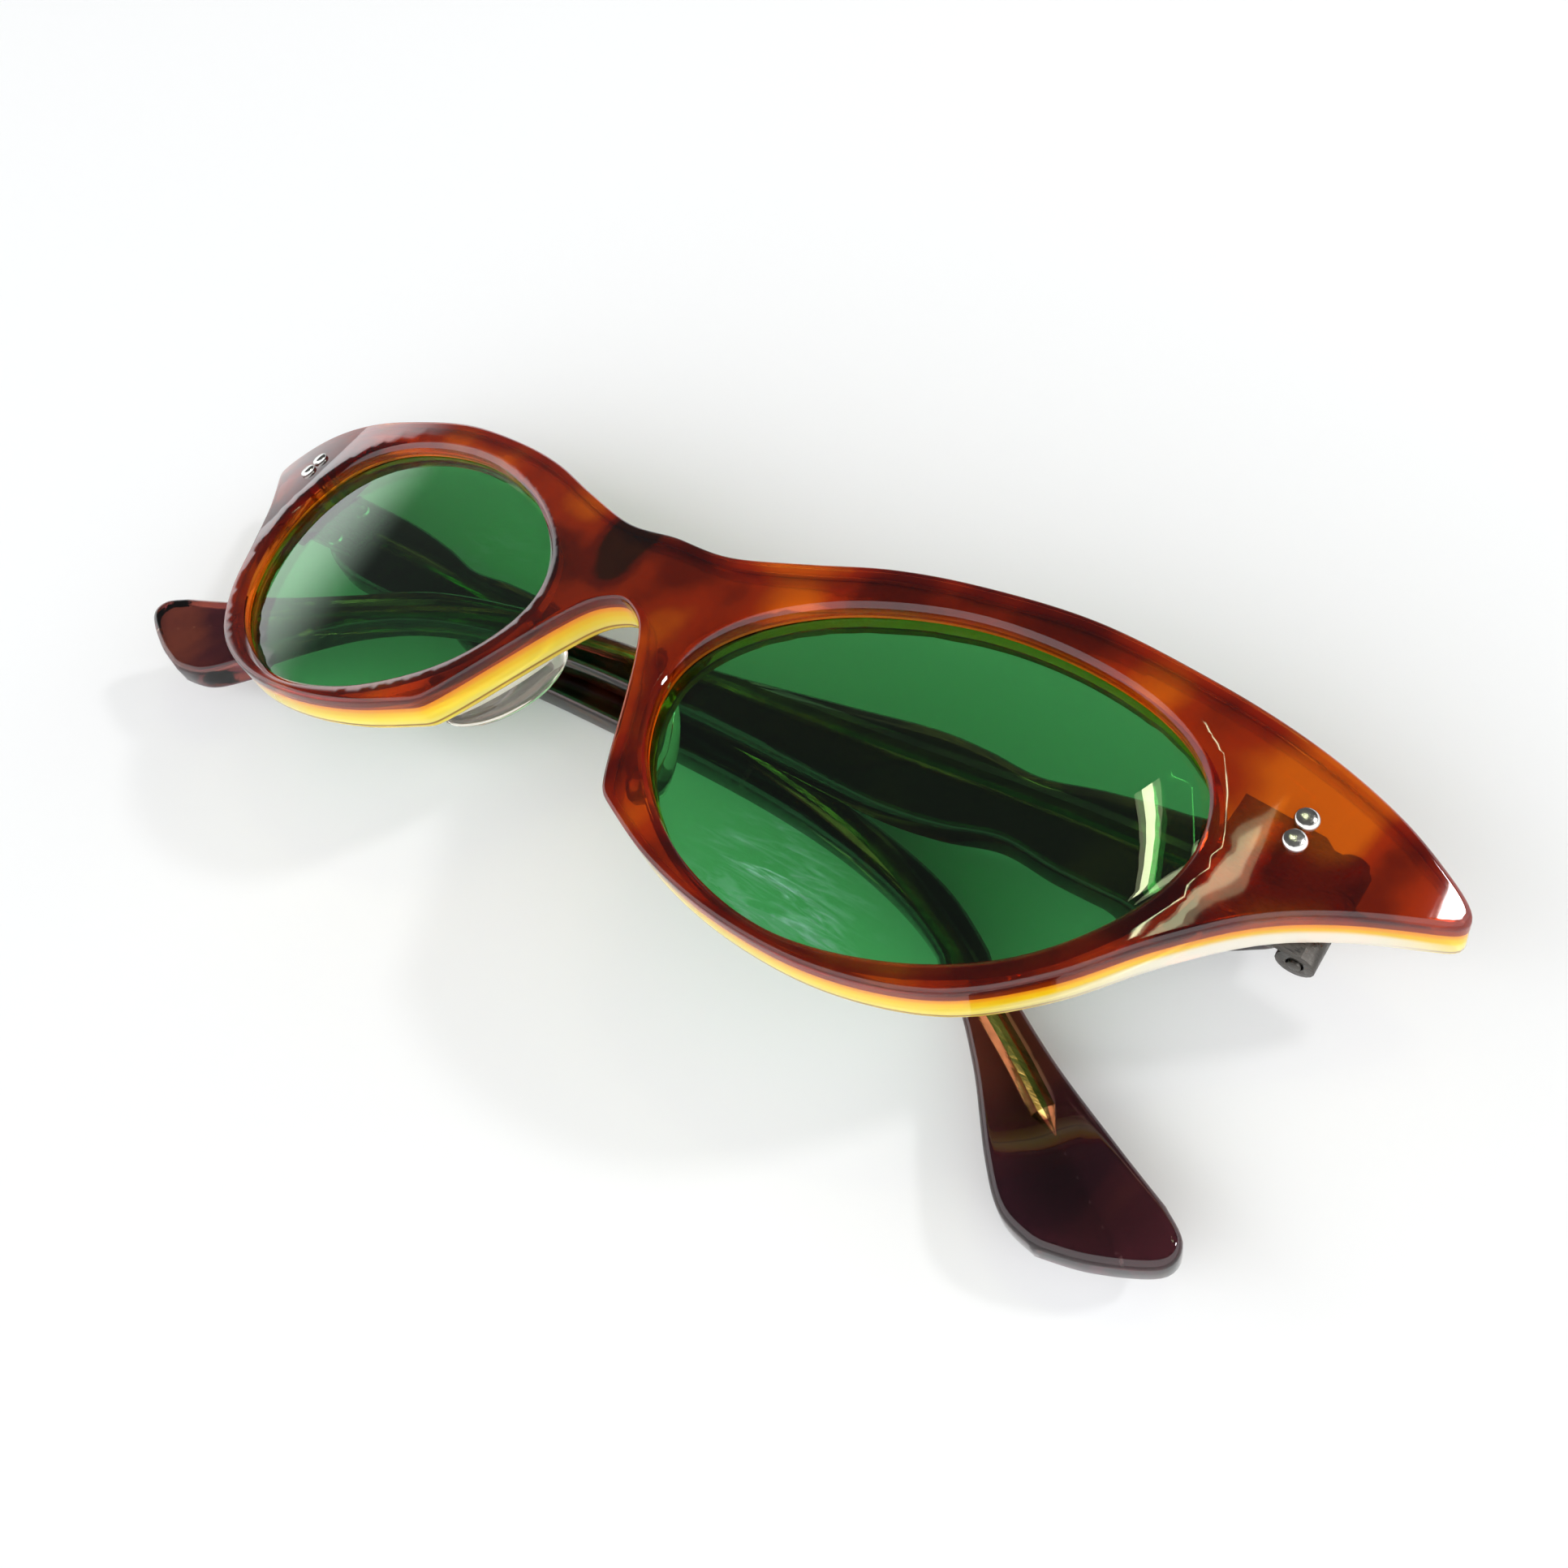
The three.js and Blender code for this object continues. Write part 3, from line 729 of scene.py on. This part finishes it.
def coreWire(name):
    # A flat wire with a ridge on both faces, drawn to a point at the tip.
    t = temple
    line = wireLine()
    along = np.gradient(line, axis=0)
    along /= np.linalg.norm(along, axis=1)[:, None]
    across = np.stack([-along[:, 1], along[:, 0]], 1)
    section = [(1, 0.12), (0.42, 0.42), (0, 0.5), (-0.42, 0.42), (-1, 0.12),
               (-1, -0.12), (-0.42, -0.42), (0, -0.5), (0.42, -0.42), (1, -0.12)]
    end = line[-1] + along[-1] * t["wirePoint"]
    line = np.vstack([line, line[-1] + along[-1] * 0.2, end])
    across = np.vstack([across, across[-1:], across[-1:]])
    size = np.r_[np.ones(len(line) - 1), 0.06]
    middle = -t["thick"] / 2
    rows = []
    for p, side, share in zip(line, across, size):
        for a, b in section:
            x, y = p + side * a * t["wireHalf"] * share
            z = templeHeight(-x, y) + middle + b * t["wireThick"] * share
            rows.append((-x, y, z))
    n = len(section)
    faces = [
        (k * n + i, k * n + (i + 1) % n, (k + 1) * n + (i + 1) % n, (k + 1) * n + i)
        for k in range(len(line) - 1) for i in range(n)
    ]
    last = (len(line) - 1) * n
    faces += [tuple(range(n))[::-1], tuple(range(last, last + n))]
    return makeMesh(f"wire_{name}", np.array(rows), faces, templePlace(name), sharp=12)


templeLook = {
    "outside": [
        (0.4, (0.02, 0.004, 0.01, 1)), (0.54, (0.05, 0.009, 0.014, 1)), (0.7, (0.3, 0.07, 0.02, 1)),
    ],
    "smoky": (0.1, 0.022, 0.028, 1),
    "clear": (0.97, 0.88, 0.62, 1),
}


def templeMaterial():
    r = Recipe("temple_acetate", Transmission_Weight=1.0, IOR=1.49, Roughness=0.05)
    soft = r.noise(r.place(), 70, 2, 0.45, 0.5)
    dark = r.ramp(soft, templeLook["outside"])
    overWire = r.grey(r.attribute("wireFar"), 1.02, 1.22)
    outside = r.grey(r.attribute("outside"), 0.1, 0.4)
    r.drive("Base Color", r.mix(outside, r.mix(overWire, templeLook["clear"], templeLook["smoky"]), dark))
    polish(r)
    return r.material


templeAcetate = templeMaterial()
for name in ("left", "right"):
    body = f"{name}_temple"
    finished(templeBody(name), body, "tortoise_acetate", templeAcetate, f"temple_{name}")
    finished(coreWire(name), body, "gilt_wire", gilt, f"core_wire_{name}")
print("temples and core wires made")


# Hinges: the frame's own leaves and screws with their edges broken.
hingeFinish = {"bevel": 0.12 * mm, "segments": 2, "merge": 0.004 * mm, "angle": 30}


def edgeBroken(node, newName):
    h = hingeFinish
    piece = frame["nodes"][node].copy()
    piece.data = frame["nodes"][node].data.copy()
    piece.name = newName
    for key in list(piece.keys()):
        del piece[key]
    piece.parent = None
    bpy.context.scene.collection.objects.link(piece)
    mesh = bmesh.new()
    mesh.from_mesh(piece.data)
    bmesh.ops.remove_doubles(mesh, verts=mesh.verts, dist=h["merge"])
    bmesh.ops.dissolve_limit(mesh, angle_limit=math.radians(1), verts=mesh.verts, edges=mesh.edges)
    mesh.to_mesh(piece.data)
    mesh.free()
    bevel = piece.modifiers.new("edges", "BEVEL")
    bevel.width = h["bevel"]
    bevel.segments = h["segments"]
    bevel.limit_method = "ANGLE"
    bevel.angle_limit = math.radians(h["angle"])
    bevel.use_clamp_overlap = True
    made = bpy.data.meshes.new_from_object(piece.evaluated_get(bpy.context.evaluated_depsgraph_get()))
    piece.modifiers.clear()
    piece.data = made
    made.shade_smooth()
    made.set_sharp_from_angle(angle=math.radians(h["angle"]))
    return piece


for name in ("left", "right"):
    finished(edgeBroken(f"front_leaf_{name}", f"leaf_front_{name}"), "front", "hinge_steel", steel,
             f"front_leaf_{name}")
    finished(edgeBroken(f"temple_leaf_{name}", f"leaf_temple_{name}"), f"{name}_temple", "hinge_steel",
             steel, f"temple_leaf_{name}")
    finished(edgeBroken(f"hinge_screw_{name}", f"screw_{name}"), "front", "hinge_steel", steel,
             f"hinge_screw_{name}")
print("hinges finished")


# Rivets: one lathed shape, set by Geometry Nodes on a point for each rivet.
rivet = {"head": 0.93, "rise": 0.42, "lip": 0.05, "shank": 0.6, "tail": 0.95, "tailHigh": 0.3, "sides": 32}


def rivetShape(headZ, tailZ):
    # Profile from the crown down to the peened tail, turned round Z.
    r = rivet
    steps = 7
    profile = [(0, headZ + r["rise"])]
    for i in range(1, steps + 1):
        angle = i / steps * math.pi / 2
        profile.append((r["head"] * math.sin(angle) ** 0.8, headZ + r["rise"] * math.cos(angle) ** 0.7))
    profile += [(r["head"], headZ - r["lip"]), (r["shank"], headZ - r["lip"])]
    profile += [(r["shank"], tailZ), (r["tail"], tailZ)]
    profile += [(r["tail"] * 0.9, tailZ - r["tailHigh"] * 0.8), (r["tail"] * 0.7, tailZ - r["tailHigh"])]
    profile.append((0, tailZ - r["tailHigh"]))
    n = r["sides"]
    points = [(0, 0, profile[0][1])]
    for radius, z in profile[1:-1]:
        for k in range(n):
            a = 2 * math.pi * k / n
            points.append((radius * math.cos(a), radius * math.sin(a), z))
    points.append((0, 0, profile[-1][1]))
    faces = [(0, 1 + k, 1 + (k + 1) % n) for k in range(n)]
    rings = len(profile) - 2
    for row in range(rings - 1):
        a, b = 1 + row * n, 1 + (row + 1) * n
        faces += [(a + k, b + k, b + (k + 1) % n, a + (k + 1) % n) for k in range(n)]
    last = 1 + (rings - 1) * n
    faces += [(last + (k + 1) % n, last + k, len(points) - 1) for k in range(n)]
    return np.array(points, float), faces


def rivetTree():
    # Inputs: the points, the rivet to repeat, its turn and size, and its finish.
    tree = bpy.data.node_groups.new("rivet_row", "GeometryNodeTree")
    sockets = tree.interface
    sockets.new_socket("Points", in_out="INPUT", socket_type="NodeSocketGeometry")
    sockets.new_socket("Rivet", in_out="INPUT", socket_type="NodeSocketObject")
    sockets.new_socket("Turn", in_out="INPUT", socket_type="NodeSocketVector")
    sockets.new_socket("Size", in_out="INPUT", socket_type="NodeSocketFloat")
    sockets.new_socket("Finish", in_out="INPUT", socket_type="NodeSocketMaterial")
    sockets.new_socket("Rivets", in_out="OUTPUT", socket_type="NodeSocketGeometry")
    nodes, links = tree.nodes, tree.links
    enter = nodes.new("NodeGroupInput")
    leave = nodes.new("NodeGroupOutput")
    info = nodes.new("GeometryNodeObjectInfo")
    turn = nodes.new("FunctionNodeEulerToRotation")
    onPoints = nodes.new("GeometryNodeInstanceOnPoints")
    realize = nodes.new("GeometryNodeRealizeInstances")
    finish = nodes.new("GeometryNodeSetMaterial")
    links.new(enter.outputs["Rivet"], info.inputs["Object"])
    links.new(enter.outputs["Turn"], turn.inputs[0])
    links.new(enter.outputs["Points"], onPoints.inputs["Points"])
    links.new(info.outputs["Geometry"], onPoints.inputs["Instance"])
    links.new(turn.outputs[0], onPoints.inputs["Rotation"])
    links.new(enter.outputs["Size"], onPoints.inputs["Scale"])
    links.new(onPoints.outputs["Instances"], realize.inputs["Geometry"])
    links.new(realize.outputs["Geometry"], finish.inputs["Geometry"])
    links.new(enter.outputs["Finish"], finish.inputs["Material"])
    links.new(finish.outputs["Geometry"], leave.inputs["Rivets"])
    return tree


rivetRows = rivetTree()


def boxCentre(node):
    low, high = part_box(node)
    return (low + high) / 2


def rivetsOn(name, nodes, headZ, tailZ, matrix):
    # The rivets of one row stand alike, so one turn serves them all.
    points, faces = rivetShape(headZ, tailZ)
    middle = (points[:, 2].max() + points[:, 2].min()) / 2
    points[:, 2] -= middle
    sample = makeMesh(name + "_sample", points, faces, Matrix.Identity(4))
    rowMesh = bpy.data.meshes.new(name)
    rowMesh.from_pydata([boxCentre(n) for n in nodes], [], [])
    row = bpy.data.objects.new(name, rowMesh)
    bpy.context.scene.collection.objects.link(row)
    modifier = row.modifiers.new("rivets", "NODES")
    modifier.node_group = rivetRows
    ids = {item.name: item.identifier for item in rivetRows.interface.items_tree if item.in_out == "INPUT"}
    modifier[ids["Rivet"]] = sample
    modifier[ids["Turn"]] = list(matrix.to_quaternion().to_euler())
    modifier[ids["Size"]] = mm
    modifier[ids["Finish"]] = silver
    made = bpy.data.meshes.new_from_object(row.evaluated_get(bpy.context.evaluated_depsgraph_get()))
    row.modifiers.clear()
    row.data = made
    made.shade_smooth()
    made.set_sharp_from_angle(angle=math.radians(40))
    bpy.data.objects.remove(sample)
    return row


endpiece = {"x": 58.8, "headZ": 0.1, "tailZ": -6.0}
templeRivet = {"headZ": 4.3, "tailZ": -0.45}


def endpieceTurn(side):
    e = endpiece["x"]
    slope = e / frontShape["faceRadius"] + 2 * frontShape["sweepRate"] * (e - frontShape["sweepStart"])
    return Matrix.Rotation(side * math.atan(slope), 4, "Y")


for side, name in ((1, "left"), (-1, "right")):
    nodes = [f"front_rivet_{name}_1", f"front_rivet_{name}_2"]
    standing = Matrix.Rotation(frontMatrix.to_euler().y, 4, "Y") @ endpieceTurn(side)
    finished(rivetsOn(f"rivets_front_{name}", nodes, endpiece["headZ"], endpiece["tailZ"], standing),
             "front", "rivet_silver", silver, *nodes)
    nodes = [f"temple_rivet_{name}_1", f"temple_rivet_{name}_2"]
    turned = Matrix.Rotation(frontMatrix.to_euler().y, 4, "Y")
    lag = Matrix.Rotation(-side * math.radians(temple["foldLag"][name]), 4, "Y")
    under = Matrix.Rotation(math.pi, 4, "Y")
    finished(rivetsOn(f"rivets_temple_{name}", nodes, templeRivet["headZ"], templeRivet["tailZ"],
                      turned @ lag @ under),
             f"{name}_temple", "rivet_silver", silver, *nodes)
print("rivets set")


# Floor, light and camera.
studio = {
    "floor": 3.0,
    "floorShade": 0.93,
    "walls": 2.22,
    "card": 0.12,
    "cardToward": (-0.2, 0.5, 0.84),
    "cardEdge": (0.5, 0.6),
    "tint": (0.975, 0.985, 1.0, 1),
    "window": 3.0,
    "windowFrom": (42, 38, 1.3),
    "windowAim": (0.05, 0, 0),
    "windowSize": (0.13, 0.11),
    "stripColour": (0.92, 1.0, 0.6),
}

# Strip lamps, seen from the near lens: both ends of each, its width and its power.
strips = {
    "tube": ((-0.07, 0.49, 0.872), (0.045, 0.41, 0.913), 0.011, 0.1),
    "tubeGlow": ((-0.07, 0.49, 0.872), (0.05, 0.408, 0.915), 0.026, 0.035),
    "shade": ((0.085, 0.415, 0.905), (0.205, 0.485, 0.85), 0.045, 0.11),
    "shadeGlow": ((0.08, 0.41, 0.907), (0.22, 0.492, 0.845), 0.075, 0.11),
}


def areaLight(name, centre, target, size, watts, along=(0, 0, 1)):
    light = bpy.data.lights.new(name, "AREA")
    light.shape = "RECTANGLE"
    light.size, light.size_y = size
    light.energy = watts
    lamp = bpy.data.objects.new(name, light)
    back = (Vector(centre) - Vector(target)).normalized()
    up = (Vector(along) - back * back.dot(Vector(along))).normalized()
    side = up.cross(back)
    lamp.matrix_world = Matrix([[side[k], up[k], back[k], centre[k]] for k in range(3)] + [[0, 0, 0, 1]])
    bpy.context.scene.collection.objects.link(lamp)
    return lamp


floorMesh = bpy.data.meshes.new("floor")
half = studio["floor"]
corners = [(-half, -half, 0), (half, -half, 0), (half, half, 0), (-half, half, 0)]
floorMesh.from_pydata(corners, [], [(0, 1, 2, 3)])
floor = bpy.data.objects.new("floor", floorMesh)
bpy.context.scene.collection.objects.link(floor)
paper = Recipe("floor_paper", Roughness=0.6)
paper.shader.inputs["Base Color"].default_value = grey(studio["floorShade"])
paper.shader.inputs["Specular IOR Level"].default_value = 0.2
floorMesh.materials.append(paper.material)

world = bpy.data.worlds.new("studio")
world.use_nodes = True
bpy.context.scene.world = world


def paleWalls():
    # Pale walls and ceiling, with a dark card above the brow that keeps the faces clear.
    nodes, links = world.node_tree.nodes, world.node_tree.links
    toward = nodes.new("ShaderNodeVectorMath")
    toward.operation = "DOT_PRODUCT"
    toward.inputs[1].default_value = Vector(studio["cardToward"]).normalized()
    links.new(nodes.new("ShaderNodeTexCoord").outputs["Generated"], toward.inputs[0])
    card = nodes.new("ShaderNodeMapRange")
    card.interpolation_type = "SMOOTHSTEP"
    links.new(toward.outputs["Value"], card.inputs["Value"])
    values = (*studio["cardEdge"], studio["walls"], studio["card"])
    for socket, value in zip(("From Min", "From Max", "To Min", "To Max"), values):
        card.inputs[socket].default_value = value
    background = nodes["Background"]
    background.inputs["Color"].default_value = studio["tint"]
    links.new(card.outputs["Result"], background.inputs["Strength"])


paleWalls()


def lampAt(azimuth, height, distance):
    a, h = math.radians(azimuth), math.radians(height)
    return Vector((math.cos(a) * math.cos(h), math.sin(a) * math.cos(h), math.sin(h))) * distance


areaLight("window", lampAt(*studio["windowFrom"]), studio["windowAim"], studio["windowSize"],
          studio["window"])
lensSpot = Vector((0.05, 0.005, 0.018))
for name, (start, stop, wide, watts) in strips.items():
    start, stop = lensSpot + Vector(start), lensSpot + Vector(stop)
    lamp = areaLight(name, (start + stop) / 2, lensSpot, (wide, (stop - start).length), watts, stop - start)
    lamp.data.color = studio["stripColour"]

bpy.context.scene.view_settings.view_transform = "Standard"

# The view: place and axes in the front's own frame, so it keeps its view of the face.
cameraView = {
    "place": (81.400, -42.482, 80.261),
    "right": (0.77355, 0.57087, -0.27519),
    "down": (0.34210, -0.74168, -0.57695),
    "forward": (-0.53346, 0.35216, -0.76902),
    "lens": 31.68,
    "sensor": 36.0,
}


def makeCamera():
    v = cameraView
    turn = frontMatrix.to_quaternion().to_matrix()
    axes = [turn @ Vector(v["right"]), -(turn @ Vector(v["down"])), -(turn @ Vector(v["forward"]))]
    matrix = Matrix([[axes[c][r] for c in range(3)] for r in range(3)]).to_4x4()
    matrix.translation = frontMatrix @ Vector(v["place"])
    data = bpy.data.cameras.new("camera")
    data.lens, data.sensor_width = v["lens"], v["sensor"]
    data.clip_start, data.clip_end = 0.005, 20
    camera = bpy.data.objects.new("camera", data)
    camera.matrix_world = matrix
    bpy.context.scene.collection.objects.link(camera)
    bpy.context.scene.camera = camera


makeCamera()
print("floor, lights and camera set")
